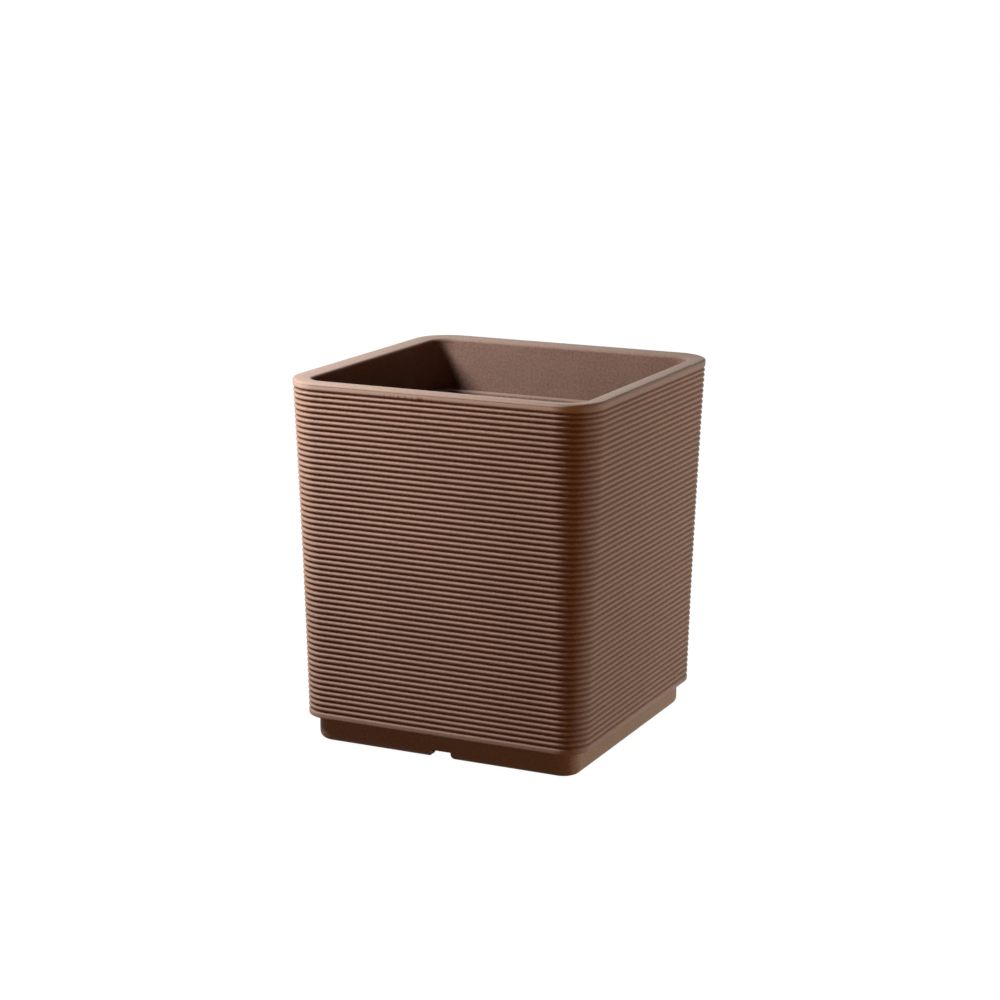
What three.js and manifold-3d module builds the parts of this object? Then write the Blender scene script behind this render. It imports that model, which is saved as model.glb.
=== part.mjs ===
// Square ribbed plastic planter: a reeded outer shell on a set-back foot, a rim collar that hangs inside
// the shell, a lift-out liner that sits on the collar's ledge, a slotted grate on the liner's floor and a
// drain plug under the foot. Millimetres, +Z up, origin at the centre of the foot's underside.

import * as THREE from 'three';
import { mergeVertices } from 'three/addons/utils/BufferGeometryUtils.js';
import Module from 'manifold-3d';

const wasm = await Module();
wasm.setup();

// Overall sizes
const RIM_WIDTH = 400;              // outer width of the rim, the same both ways
const HEIGHT = 447;                 // floor to the top of the rim
const CORNER_RADIUS = 48;           // outer corner of the rim, seen from above
const CORNER_STEPS = 4;             // flats on each rounded corner
const EDGE_STEPS = 3;               // flats on each rounded edge
const WELD_DISTANCE = 1e-4;         // points closer than this are one point

// Fits between the pieces
const SEAT_GAP = 0.05;              // between faces that rest on each other
const PUSH_FIT = 0.3;               // between walls that slide into each other
const LIFT_CLEARANCE = 1.2;         // round pieces that lift out by hand
const CUT_MARGIN = 5;               // how far a cut runs past the face that it opens

// Ribbed shell
const REED_COUNT = 59;              // raised lines between the rim and the bottom lip
const REED_DEPTH = 1.9;             // crest of a reed to the bottom of a groove
const GROOVE_WIDTH = 3.4;           // mouth of the groove between two reeds
const GROOVE_FLOOR_WIDTH = 1.6;     // flat bottom of that groove
const SHELL_WALL = 3.2;             // bottom of a groove to the inner face
const SHELL_LEAN = 14.6;            // how far each side leans in on its way down
const LIP_HEIGHT = 10;              // smooth band below the last groove
const LIP_CHAMFER = 1.6;            // lower edge of that band
const SHELL_FLANGE = 3.5;           // thickness of the flange turned in under the shell

// Rim collar
const RIM_THICKNESS = 3.7;          // flat flange on top of the shell
const RIM_BREADTH = 23.6;           // width of the flat rim
const RIM_OVERHANG = 0.2;           // past the crest of the top reed
const RIM_OUTER_ROUND = 2.2;        // rounding of the outer top edge
const RIM_INNER_ROUND = 3;          // rounding down into the mouth
const TONGUE_DEPTH = 12;            // rib that locates the collar inside the shell
const TONGUE_WALL = 3;
const SKIRT_WALL = 3;               // inner wall that hangs from the rim
const SKIRT_DRAFT = 1.5;            // how far it leans in on its way down
const LEDGE_DROP = 70.5;            // top of the rim down to the ledge
const LEDGE_BREADTH = 12;           // how far the ledge stands in from the skirt
const LEDGE_THICKNESS = 4;

// Foot
const FOOT_HEIGHT = 32;             // floor to the underside of the shell
const FOOT_SETBACK = 12.3;          // from the lip in to the foot
const FOOT_CORNER_RADIUS = 23;
const FOOT_EDGE_ROUND = 9.5;        // lower outer edge of the foot
const FOOT_WALL = 4;
const FOOT_SOLE_BREADTH = 16;       // flat ring that the planter stands on
const FOOT_SOLE_THICKNESS = 4;
const FOOT_PLATE_DROP = 4;          // foot's shoulder down to the top of its plate
const FOOT_PLATE_THICKNESS = 3.5;
const SHOULDER_BREADTH = 10.5;      // seat for the shell's flange
const SPIGOT_HEIGHT = 12;           // rim of the foot that stands up through the shell
const SPIGOT_WALL = 3;
const BEAD_REACH = 0.9;             // snap bead past the edge of the shell's flange
const BEAD_HEIGHT = 3;
const NOTCH_HEIGHT = 10;            // drain notch in the front and the back of the foot
const NOTCH_TOP_WIDTH = 27;
const NOTCH_MOUTH_WIDTH = 38;
const NOTCH_FLARE_STEPS = 4;        // flats on each of its curved sides

// Drain outlet, plug and seal
const OUTLET_RADIUS = 13;
const OUTLET_WALL = 4;
const PLUG_FLOOR_GAP = 1;           // plug's grip stays off the floor
const GRIP_HEIGHT = 3;
const GRIP_LENGTH = 28;
const GRIP_WIDTH = 6;
const PLUG_HEAD_RADIUS = 18;
const PLUG_HEAD_THICKNESS = 4;
const PLUG_LENGTH = 14;             // shank inside the outlet
const PLUG_CLEARANCE = 0.5;         // shank to the outlet's wall
const PLUG_TIP_CHAMFER = 2;
const SEAL_SECTION = 3;             // thickness of the ring
const SEAL_LIFT = 6;                // seat of the plug up to the middle of the ring
const SEAL_CLEARANCE = 0.25;        // ring to the outlet and to its groove
const SEAL_SIDES = 8;               // flats round the ring's section
const ROUND_STEPS = 24;             // sides on the round pieces

// Liner
const LINER_LIP_THICKNESS = 3.4;
const LINER_WALL = 2.5;
const LINER_DRAFT = 13;             // how far each side leans in on its way down
const LINER_FLOOR = 3;
const LINER_FLOOR_GAP = 16;         // top of the foot's spigot up to the liner
const LINER_HOLE_RADIUS = 6;
const LINER_HOLE_PITCH = 90;
const LINER_HOLES_ACROSS = 3;

// Grate
const GRATE_THICKNESS = 3;
const GRATE_LEG_HEIGHT = 18;
const GRATE_LEG_RADIUS = 4.5;
const GRATE_MARGIN = 18;            // plain border round the slots
const SLOT_COLUMNS = 3;
const SLOT_WIDTH = 5;
const SLOT_PITCH = 15;
const SLOT_BRIDGE = 14;             // plain strip between two columns of slots
const SLOT_END_STEPS = 3;
const FINGER_HOLE_RADIUS = 14;      // lifts the grate out

// Levels, from the floor up
const shellBase = FOOT_HEIGHT + SEAT_GAP;
const collarSeat = HEIGHT - RIM_THICKNESS;
const shellHeight = collarSeat - SEAT_GAP - shellBase;
const reedPitch = (shellHeight - LIP_HEIGHT) / REED_COUNT;
const ledgeLevel = HEIGHT - LEDGE_DROP;
const plateTop = FOOT_HEIGHT - FOOT_PLATE_DROP;
const plateBottom = plateTop - FOOT_PLATE_THICKNESS;
const spigotTop = FOOT_HEIGHT + SPIGOT_HEIGHT;
const plugSeat = PLUG_FLOOR_GAP + GRIP_HEIGHT + PLUG_HEAD_THICKNESS;
const linerBottom = spigotTop + LINER_FLOOR_GAP;
const linerLipLevel = ledgeLevel + SEAT_GAP - linerBottom;  // above the liner's own underside

// Half widths, from the outside in
const rimHalf = RIM_WIDTH / 2;
const crestHalf = rimHalf - RIM_OVERHANG;
const lipHalf = crestHalf - SHELL_LEAN;
const footHalf = lipHalf - FOOT_SETBACK;
const flangeOpeningHalf = footHalf - SHOULDER_BREADTH;
const spigotHalf = flangeOpeningHalf - PUSH_FIT;
const mouthHalf = rimHalf - RIM_BREADTH;
const skirtFootHalf = mouthHalf - SKIRT_DRAFT;
const ledgeEdgeHalf = skirtFootHalf - LEDGE_BREADTH;
const skirtFootRadius = CORNER_RADIUS - RIM_BREADTH - SKIRT_DRAFT;
const linerTopHalf = ledgeEdgeHalf - LIFT_CLEARANCE;
const linerRadius = skirtFootRadius - LIFT_CLEARANCE;

// A rounded square at height z, counter-clockwise from above
function roundedSquare(half, radius, z) {
  const points = [];
  for (let corner = 0; corner < 4; corner += 1) {
    const centreX = (half - radius) * (corner === 0 || corner === 3 ? 1 : -1);
    const centreY = (half - radius) * (corner < 2 ? 1 : -1);
    for (let step = 0; step <= CORNER_STEPS; step += 1) {
      const angle = (corner + step / CORNER_STEPS) * Math.PI / 2;
      const x = centreX + radius * Math.cos(angle);
      const y = centreY + radius * Math.sin(angle);
      points.push(new THREE.Vector3(x, y, z));
    }
  }
  return points;
}

// Rings inside the outline of one piece: the corner keeps its centre as the half width shrinks
function ringsWithin(outerHalf, outerRadius) {
  return (half, z) => roundedSquare(half, outerRadius - (outerHalf - half), z);
}

// A quarter round in a wall's section, as [half, z] pairs from the first angle to the last
function quarterRound(half, z, radius, firstDegrees, lastDegrees) {
  const pairs = [];
  for (let step = 0; step <= EDGE_STEPS; step += 1) {
    const degrees = THREE.MathUtils.lerp(firstDegrees, lastDegrees, step / EDGE_STEPS);
    const angle = THREE.MathUtils.degToRad(degrees);
    pairs.push([half + radius * Math.cos(angle), z + radius * Math.sin(angle)]);
  }
  return pairs;
}

// Skin over a row of rings that climbs on the outside. A closed row makes a hollow frame, and an open
// row is capped at both ends.
function loft(rings, isClosed) {
  const count = rings[0].length;
  const points = rings.flat();
  const index = [];
  const spans = isClosed ? rings.length : rings.length - 1;
  for (let span = 0; span < spans; span += 1) {
    const here = span * count;
    const next = ((span + 1) % rings.length) * count;
    for (let j = 0; j < count; j += 1) {
      const k = (j + 1) % count;
      index.push(here + j, here + k, next + k);
      index.push(here + j, next + k, next + j);
    }
  }
  if (!isClosed) {
    const last = (rings.length - 1) * count;
    const firstCentre = points.push(new THREE.Vector3(0, 0, rings[0][0].z)) - 1;
    const lastCentre = points.push(new THREE.Vector3(0, 0, rings.at(-1)[0].z)) - 1;
    for (let j = 0; j < count; j += 1) {
      const k = (j + 1) % count;
      index.push(firstCentre, k, j);
      index.push(lastCentre, last + j, last + k);
    }
  }
  const geometry = new THREE.BufferGeometry().setFromPoints(points);
  geometry.setIndex(index);
  return geometry;
}

// Closed geometry to a solid that can be joined and cut, and back
function solidOf(geometry) {
  const bare = geometry.clone();
  bare.deleteAttribute('normal');
  bare.deleteAttribute('uv');
  const merged = mergeVertices(bare, WELD_DISTANCE);
  const vertProperties = new Float32Array(merged.attributes.position.array);
  const triVerts = new Uint32Array(merged.index.array);
  return new wasm.Manifold(new wasm.Mesh({ numProp: 3, vertProperties, triVerts }));
}

function geometryOf(solid) {
  const mesh = solid.getMesh();
  const geometry = new THREE.BufferGeometry();
  geometry.setAttribute('position', new THREE.BufferAttribute(mesh.vertProperties, 3));
  geometry.setIndex(new THREE.BufferAttribute(mesh.triVerts, 1));
  return geometry;
}

function piece(name, geometry, finish) {
  geometry.computeVertexNormals();
  const material = new THREE.MeshStandardMaterial({ ...finish, metalness: 0, flatShading: true });
  const mesh = new THREE.Mesh(geometry, material);
  mesh.name = name;
  return mesh;
}

// Upright cylinder that stands on height z
function post(radius, height, z, sides) {
  const geometry = new THREE.CylinderGeometry(radius, radius, height, sides);
  geometry.rotateX(Math.PI / 2);
  return geometry.translate(0, 0, z + height / 2);
}

// Crest of the shell at a height above its underside, and the inner face behind it
function crestAt(z) {
  return lipHalf + SHELL_LEAN * z / shellHeight;
}

function shellInnerAt(z) {
  return crestAt(z) - REED_DEPTH - SHELL_WALL;
}

// Outer shell, with its underside at zero: lip, reeds and an inward flange below
function ribbedShell() {
  const ring = ringsWithin(rimHalf, CORNER_RADIUS);
  const openingRing = ringsWithin(footHalf, FOOT_CORNER_RADIUS);
  const rings = [
    openingRing(flangeOpeningHalf, 0),
    ring(crestAt(0) - LIP_CHAMFER, 0),
    ring(crestAt(LIP_CHAMFER), LIP_CHAMFER),
  ];
  for (let reed = 0; reed < REED_COUNT; reed += 1) {
    const groove = LIP_HEIGHT + reed * reedPitch;
    const shoulderBelow = groove - GROOVE_WIDTH / 2;
    const floorBelow = groove - GROOVE_FLOOR_WIDTH / 2;
    const floorAbove = groove + GROOVE_FLOOR_WIDTH / 2;
    const shoulderAbove = groove + GROOVE_WIDTH / 2;
    rings.push(ring(crestAt(shoulderBelow), shoulderBelow));
    rings.push(ring(crestAt(floorBelow) - REED_DEPTH, floorBelow));
    rings.push(ring(crestAt(floorAbove) - REED_DEPTH, floorAbove));
    rings.push(ring(crestAt(shoulderAbove), shoulderAbove));
  }
  rings.push(ring(crestAt(shellHeight), shellHeight));
  rings.push(ring(shellInnerAt(shellHeight), shellHeight));
  rings.push(ring(shellInnerAt(SHELL_FLANGE), SHELL_FLANGE));
  rings.push(openingRing(flangeOpeningHalf, SHELL_FLANGE));
  return loft(rings, true);
}

// Rim flange with a tongue inside the shell and a skirt that ends in the liner's ledge. Its zero is the
// flange's underside.
function rimCollar() {
  const ring = ringsWithin(rimHalf, CORNER_RADIUS);
  const ledgeRing = (half, z) => roundedSquare(half, skirtFootRadius, z);
  const tongueHalf = shellInnerAt(shellHeight - TONGUE_DEPTH) - PUSH_FIT;
  const ledgeTop = ledgeLevel - collarSeat;
  const ledgeBottom = ledgeTop - LEDGE_THICKNESS;
  const outerRoundHalf = rimHalf - RIM_OUTER_ROUND;
  const outerRoundLevel = RIM_THICKNESS - RIM_OUTER_ROUND;
  const innerRoundHalf = mouthHalf + RIM_INNER_ROUND;
  const innerRoundLevel = RIM_THICKNESS - RIM_INNER_ROUND;
  const section = [
    [rimHalf, 0],
    ...quarterRound(outerRoundHalf, outerRoundLevel, RIM_OUTER_ROUND, 0, 90),
    ...quarterRound(innerRoundHalf, innerRoundLevel, RIM_INNER_ROUND, 90, 180),
    [skirtFootHalf, ledgeTop],
  ];
  const underside = [
    [skirtFootHalf + SKIRT_WALL, ledgeBottom],
    [mouthHalf + SKIRT_WALL, 0],
    [tongueHalf - TONGUE_WALL, 0],
    [tongueHalf - TONGUE_WALL, -TONGUE_DEPTH],
    [tongueHalf, -TONGUE_DEPTH],
    [tongueHalf, 0],
  ];
  const rings = [
    ...section.map(([half, z]) => ring(half, z)),
    ledgeRing(ledgeEdgeHalf, ledgeTop),
    ledgeRing(ledgeEdgeHalf, ledgeBottom),
    ...underside.map(([half, z]) => ring(half, z)),
  ];
  return loft(rings, true);
}

// Drain notch, seen from the front: straight top, sides that flare out to the floor
function notchCutter() {
  const top = NOTCH_TOP_WIDTH / 2;
  const mouth = NOTCH_MOUTH_WIDTH / 2;
  const outline = new THREE.Shape();
  outline.moveTo(-mouth, -CUT_MARGIN);
  outline.lineTo(mouth, -CUT_MARGIN);
  outline.lineTo(mouth, 0);
  outline.quadraticCurveTo(top, 0, top, NOTCH_HEIGHT);
  outline.lineTo(-top, NOTCH_HEIGHT);
  outline.quadraticCurveTo(-top, 0, -mouth, 0);
  outline.closePath();
  const depth = FOOT_SOLE_BREADTH + 2 * CUT_MARGIN;
  const curveSegments = NOTCH_FLARE_STEPS;
  const geometry = new THREE.ExtrudeGeometry(outline, { depth, bevelEnabled: false, curveSegments });
  geometry.rotateX(Math.PI / 2);
  return geometry.translate(0, depth / 2, 0);
}

// Foot: a hollow ring with a plate across it, a spigot that snaps into the shell and a drain outlet
function basePlinth() {
  const ring = ringsWithin(footHalf, FOOT_CORNER_RADIUS);
  const soleHalf = footHalf - FOOT_SOLE_BREADTH;
  const innerHalf = footHalf - FOOT_WALL;
  const beadLevel = shellBase + SHELL_FLANGE + PUSH_FIT;
  const edgeHalf = footHalf - FOOT_EDGE_ROUND;
  const section = [
    [innerHalf, plateBottom],
    [innerHalf, FOOT_EDGE_ROUND],
    [edgeHalf, FOOT_SOLE_THICKNESS],
    [soleHalf, FOOT_SOLE_THICKNESS],
    [soleHalf, 0],
    ...quarterRound(edgeHalf, FOOT_EDGE_ROUND, FOOT_EDGE_ROUND, -90, 0),
    [footHalf, FOOT_HEIGHT],
    [spigotHalf, FOOT_HEIGHT],
    [spigotHalf, beadLevel],
    [flangeOpeningHalf + BEAD_REACH, beadLevel],
    [spigotHalf, beadLevel + BEAD_HEIGHT],
    [spigotHalf, spigotTop],
    [spigotHalf - SPIGOT_WALL, spigotTop],
    [spigotHalf - SPIGOT_WALL, plateTop],
  ];
  const body = solidOf(loft(section.map(([half, z]) => ring(half, z)), false));
  const outletLength = plateTop - plugSeat;
  const boss = solidOf(post(OUTLET_RADIUS + OUTLET_WALL, outletLength, plugSeat, ROUND_STEPS));
  const boreLength = outletLength + 2 * CUT_MARGIN;
  const bore = solidOf(post(OUTLET_RADIUS, boreLength, plugSeat - CUT_MARGIN, ROUND_STEPS));
  const soleMiddle = footHalf - FOOT_SOLE_BREADTH / 2;
  const frontNotch = solidOf(notchCutter().translate(0, -soleMiddle, 0));
  const backNotch = solidOf(notchCutter().translate(0, soleMiddle, 0));
  const foot = body.add(boss).subtract(bore).subtract(frontNotch).subtract(backNotch);
  return geometryOf(foot);
}

// Lift-out liner, with its underside at zero: holed floor, leaning walls and a flat lip
function linerPot() {
  const lipTop = linerLipLevel + LINER_LIP_THICKNESS;
  const lipHalfWidth = skirtFootHalf - LIFT_CLEARANCE;
  const floorHalf = linerTopHalf - LINER_DRAFT;
  const innerRadius = linerRadius - LINER_WALL;
  const rings = [
    roundedSquare(floorHalf, linerRadius, 0),
    roundedSquare(linerTopHalf, linerRadius, linerLipLevel),
    roundedSquare(lipHalfWidth, linerRadius, linerLipLevel),
    roundedSquare(lipHalfWidth, linerRadius, lipTop),
    roundedSquare(linerTopHalf - LINER_WALL, innerRadius, lipTop),
    roundedSquare(linerInnerAt(LINER_FLOOR), innerRadius, LINER_FLOOR),
  ];
  let liner = solidOf(loft(rings, false));
  const firstHole = -(LINER_HOLES_ACROSS - 1) / 2;
  for (let row = 0; row < LINER_HOLES_ACROSS; row += 1) {
    for (let column = 0; column < LINER_HOLES_ACROSS; column += 1) {
      const hole = post(LINER_HOLE_RADIUS, LINER_FLOOR + 2 * CUT_MARGIN, -CUT_MARGIN, ROUND_STEPS / 2);
      hole.translate((firstHole + column) * LINER_HOLE_PITCH, (firstHole + row) * LINER_HOLE_PITCH, 0);
      liner = liner.subtract(solidOf(hole));
    }
  }
  return geometryOf(liner);
}

// Inner face of the liner at a height above its underside
function linerInnerAt(z) {
  return linerTopHalf - LINER_WALL - LINER_DRAFT * (1 - z / linerLipLevel);
}

// Part of a circle, as points from the first angle to the last
function arcPoints(x, y, radius, firstAngle, lastAngle, steps) {
  const points = [];
  for (let step = 0; step <= steps; step += 1) {
    const angle = THREE.MathUtils.lerp(firstAngle, lastAngle, step / steps);
    points.push(new THREE.Vector2(x + radius * Math.cos(angle), y + radius * Math.sin(angle)));
  }
  return points;
}

// Round-ended slot along X, as a hole in the grate's outline
function slotPath(x, y, length) {
  const radius = SLOT_WIDTH / 2;
  const reach = length / 2 - radius;
  const quarter = Math.PI / 2;
  const rightEnd = arcPoints(x + reach, y, radius, -quarter, quarter, SLOT_END_STEPS);
  const leftEnd = arcPoints(x - reach, y, radius, quarter, 3 * quarter, SLOT_END_STEPS);
  return new THREE.Path([...rightEnd, ...leftEnd]);
}

// Slotted false floor on short legs, standing on zero
function soilGrate() {
  const plateLevel = LINER_FLOOR + SEAT_GAP;
  const half = linerInnerAt(plateLevel) - LIFT_CLEARANCE;
  const radius = linerRadius - LINER_WALL - LIFT_CLEARANCE;
  const field = half - GRATE_MARGIN;
  const slotLength = (2 * field - (SLOT_COLUMNS - 1) * SLOT_BRIDGE) / SLOT_COLUMNS;
  const columnPitch = slotLength + SLOT_BRIDGE;
  const rows = Math.floor(2 * field / SLOT_PITCH);
  const firstRow = -(rows - 1) / 2;
  const firstColumn = -(SLOT_COLUMNS - 1) / 2;
  const keepClear = FINGER_HOLE_RADIUS + SLOT_WIDTH;
  const outline = new THREE.Shape(roundedSquare(half, radius, 0));
  for (let row = 0; row < rows; row += 1) {
    const y = (firstRow + row) * SLOT_PITCH;
    for (let column = 0; column < SLOT_COLUMNS; column += 1) {
      const x = (firstColumn + column) * columnPitch;
      const meetsFingerHole = Math.abs(y) < keepClear && Math.abs(x) < slotLength / 2 + keepClear;
      if (!meetsFingerHole) {
        outline.holes.push(slotPath(x, y, slotLength));
      }
    }
  }
  const fingerHole = arcPoints(0, 0, FINGER_HOLE_RADIUS, 0, 2 * Math.PI, ROUND_STEPS);
  outline.holes.push(new THREE.Path(fingerHole.slice(1)));
  const plate = new THREE.ExtrudeGeometry(outline, { depth: GRATE_THICKNESS, bevelEnabled: false });
  plate.translate(0, 0, GRATE_LEG_HEIGHT);
  let grate = solidOf(plate);
  const legReach = field + GRATE_MARGIN / 2 - GRATE_LEG_RADIUS;
  for (let strip = 0; strip < SLOT_COLUMNS - 1; strip += 1) {
    const x = (firstColumn + strip + 0.5) * columnPitch;
    for (const y of [-legReach, 0, legReach]) {
      const leg = post(GRATE_LEG_RADIUS, GRATE_LEG_HEIGHT + GRATE_THICKNESS / 2, 0, ROUND_STEPS / 2);
      grate = grate.add(solidOf(leg.translate(x, y, 0)));
    }
  }
  return geometryOf(grate);
}

// Plug, with its zero at the seat under the outlet: grip, head and a grooved shank
function drainPlug() {
  const shank = OUTLET_RADIUS - PLUG_CLEARANCE;
  const grooveFloor = OUTLET_RADIUS - SEAL_SECTION - 2 * SEAL_CLEARANCE;
  const grooveHalf = SEAL_SECTION / 2 + SEAL_CLEARANCE;
  const profile = [
    [0, -PLUG_HEAD_THICKNESS],
    [PLUG_HEAD_RADIUS, -PLUG_HEAD_THICKNESS],
    [PLUG_HEAD_RADIUS, -SEAT_GAP],
    [shank, -SEAT_GAP],
    [shank, SEAL_LIFT - grooveHalf],
    [grooveFloor, SEAL_LIFT - grooveHalf],
    [grooveFloor, SEAL_LIFT + grooveHalf],
    [shank, SEAL_LIFT + grooveHalf],
    [shank, PLUG_LENGTH - PLUG_TIP_CHAMFER],
    [shank - PLUG_TIP_CHAMFER, PLUG_LENGTH],
    [0, PLUG_LENGTH],
  ];
  const points = profile.map(([r, z]) => new THREE.Vector2(r, z));
  const turned = new THREE.LatheGeometry(points, ROUND_STEPS).rotateX(Math.PI / 2);
  const gripHeight = GRIP_HEIGHT + PLUG_HEAD_THICKNESS / 2;
  const grip = new THREE.BoxGeometry(GRIP_LENGTH, GRIP_WIDTH, gripHeight);
  grip.translate(0, 0, gripHeight / 2 - GRIP_HEIGHT - PLUG_HEAD_THICKNESS);
  return geometryOf(solidOf(turned).add(solidOf(grip)));
}

// Ring seal in the plug's groove, with its zero at the plug's seat
function plugSeal() {
  const middle = OUTLET_RADIUS - SEAL_CLEARANCE - SEAL_SECTION / 2;
  const ring = new THREE.TorusGeometry(middle, SEAL_SECTION / 2, SEAL_SIDES, ROUND_STEPS);
  return ring.translate(0, 0, SEAL_LIFT);
}

// Assembly
const MATTE_BROWN = { color: 0x8b654e, roughness: 0.6 };
const SATIN_BROWN = { color: 0x8b654e, roughness: 0.5 };
const DARK_BROWN = { color: 0x4a372e, roughness: 0.65 };
const BLACK_PLASTIC = { color: 0x1c1a19, roughness: 0.5 };
const BLACK_RUBBER = { color: 0x161616, roughness: 0.7 };

const shell = piece('ribbed_shell', ribbedShell(), MATTE_BROWN);
shell.position.z = shellBase;

const collar = piece('rim_collar', rimCollar(), SATIN_BROWN);
collar.position.z = collarSeat;

const plinth = piece('base_plinth', basePlinth(), SATIN_BROWN);

const linerGroup = new THREE.Group();
linerGroup.position.z = linerBottom;
linerGroup.add(piece('liner_pot', linerPot(), MATTE_BROWN));

const grate = piece('soil_grate', soilGrate(), DARK_BROWN);
grate.position.z = LINER_FLOOR + SEAT_GAP;
linerGroup.add(grate);

const plugGroup = new THREE.Group();
plugGroup.position.z = plugSeat;
plugGroup.add(piece('drain_plug', drainPlug(), BLACK_PLASTIC));
plugGroup.add(piece('plug_seal', plugSeal(), BLACK_RUBBER));

const planter = new THREE.Group();
planter.add(shell, collar, plinth, linerGroup, plugGroup);

export default planter;
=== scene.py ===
# Looks of a square reeded plastic planter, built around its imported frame.
# Metres, +Z up, front towards -Y.

import math

import bmesh
import bpy
from mathutils import Matrix, Vector


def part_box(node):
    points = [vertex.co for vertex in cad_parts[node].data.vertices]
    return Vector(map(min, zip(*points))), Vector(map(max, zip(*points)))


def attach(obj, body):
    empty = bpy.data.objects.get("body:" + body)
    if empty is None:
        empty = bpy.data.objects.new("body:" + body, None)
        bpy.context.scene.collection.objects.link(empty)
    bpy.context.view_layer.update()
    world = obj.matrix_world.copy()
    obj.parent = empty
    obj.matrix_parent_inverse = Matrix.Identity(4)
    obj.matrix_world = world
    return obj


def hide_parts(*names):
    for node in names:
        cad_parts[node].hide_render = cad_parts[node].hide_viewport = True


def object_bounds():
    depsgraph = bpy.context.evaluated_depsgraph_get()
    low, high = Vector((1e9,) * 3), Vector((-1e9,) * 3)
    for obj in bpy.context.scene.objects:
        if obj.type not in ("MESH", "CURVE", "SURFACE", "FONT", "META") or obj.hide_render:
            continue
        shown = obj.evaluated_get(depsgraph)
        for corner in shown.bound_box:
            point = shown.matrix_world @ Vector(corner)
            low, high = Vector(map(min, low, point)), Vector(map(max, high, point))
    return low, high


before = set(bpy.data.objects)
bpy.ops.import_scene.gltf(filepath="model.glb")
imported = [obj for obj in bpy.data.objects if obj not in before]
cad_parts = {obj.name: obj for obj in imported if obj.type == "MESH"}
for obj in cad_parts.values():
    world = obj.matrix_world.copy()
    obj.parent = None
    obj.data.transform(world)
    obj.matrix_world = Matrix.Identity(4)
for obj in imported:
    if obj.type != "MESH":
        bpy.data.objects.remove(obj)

cad_low, cad_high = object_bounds()

MM = 0.001

# Smoothness of the meshes
CORNER_STEPS = 18
ROUND_STEPS = 48
EDGE_STEPS = 6
REED_STEPS = 14
INNER_WALL_STEPS = 12
SEAL_STEPS = 16
GRATE_EDGE_STEPS = 2
SHARP_ANGLE = math.radians(38)

# Shell
CORNER_RADIUS = 48 * MM
RIM_OVERHANG = 0.2 * MM
REED_COUNT = 59
REED_DEPTH = 1.9 * MM
REED_FULLNESS = 1.6           # past 1, the reeds are broader than the grooves
REED_BOW = 0.2                # rise of the middle reeds over even spacing, in reeds
TOP_GROOVE_SAG = 0.9 * MM
SHELL_WALL = 3.2 * MM
SHELL_LEAN = 14.6 * MM
SHELL_HOLLOW = 1.3 * MM       # how far the sides dip in at half their height
SHELL_TOP_ROUND = 0.2 * MM
SHELL_FLANGE = 3.5 * MM
LIP_HEIGHT = 8.6 * MM
LIP_ROUND = 1.8 * MM

# Rim collar
RIM_THICKNESS = 3.7 * MM
RIM_BREADTH = 23.6 * MM
RIM_OUTER_ROUND = 3.2 * MM
RIM_LOWER_ROUND = 0.2 * MM
RIM_INNER_ROUND = 4 * MM
RIM_FALL = 1.4 * MM           # how far its top falls inwards
TONGUE_DEPTH = 12 * MM
TONGUE_WALL = 3 * MM
PUSH_FIT = 0.3 * MM
SKIRT_WALL = 3 * MM
SKIRT_DRAFT = 1.5 * MM
LEDGE_BREADTH = 12 * MM
LEDGE_THICKNESS = 4 * MM

# Foot
FOOT_CORNER_RADIUS = 23 * MM
FOOT_EDGE_ROUND = 9.5 * MM
FOOT_WALL = 4 * MM
FOOT_HEIGHT = 32 * MM
SOLE_BREADTH = 16 * MM
SOLE_THICKNESS = 4 * MM
PLATE_TOP = 28 * MM
PLATE_THICKNESS = 3.5 * MM
SHOULDER_BREADTH = 10.5 * MM
SPIGOT_WALL = 3 * MM
BEAD_REACH = 0.9 * MM
BEAD_HEIGHT = 3 * MM
NOTCH_HEIGHT = 10 * MM
NOTCH_TOP_WIDTH = 27 * MM
NOTCH_MOUTH_WIDTH = 38 * MM
CUT_MARGIN = 5 * MM

# Outlet, plug and seal
OUTLET_RADIUS = 13 * MM
OUTLET_WALL = 4 * MM
PLUG_HEAD_RADIUS = 18 * MM
PLUG_HEAD_THICKNESS = 4 * MM
PLUG_EDGE_ROUND = 0.8 * MM
PLUG_CLEARANCE = 0.5 * MM
PLUG_TIP_CHAMFER = 2 * MM
GRIP_HEIGHT = 3 * MM
GRIP_LENGTH = 28 * MM
GRIP_WIDTH = 6 * MM
SEAL_SECTION = 3 * MM
SEAL_LIFT = 6 * MM
SEAL_CLEARANCE = 0.25 * MM

# Liner and grate
LINER_WALL = 2.5 * MM
LINER_DRAFT = 13 * MM
LINER_FLOOR = 3 * MM
LINER_LIP_THICKNESS = 3.4 * MM
LINER_LIP_ROUND = 1.2 * MM
LINER_FLOOR_ROUND = 6 * MM
LINER_HOLE_RADIUS = 6 * MM
LINER_HOLE_PITCH = 90 * MM
LIFT_CLEARANCE = 1.2 * MM
GRATE_THICKNESS = 3 * MM
GRATE_EDGE_ROUND = 0.5 * MM
GRATE_MARGIN = 18 * MM
GRATE_LEG_RADIUS = 4.5 * MM
GRATE_LEG_TAPER = 0.8         # radius at a leg's foot, as a share of that at its top
SLOT_COLUMNS = 3
SLOT_WIDTH = 5 * MM
SLOT_PITCH = 15 * MM
SLOT_BRIDGE = 14 * MM
FINGER_HOLE_RADIUS = 14 * MM

# Marks that meshes carry for their materials. The shell's is a groove's depth, from 0 to 1.
# The shell's upper edge and the rim's outer face carry a painted highlight on the front
LIT_EDGE_MARK = -1.0            # the shell's upper edge
LIT_EDGE_FROM = 0.7             # share of the top groove's height where that edge begins
# Tops marked here are painted paler, as lit from above
TOP_MARK = 1.0                # top of the rim and of the liner's lip
LIP_INNER_RINGS = 2           # rings of the lip's inner round that belong to its top
EDGE_MARK = 2.0               # outer face of the rim

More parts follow.
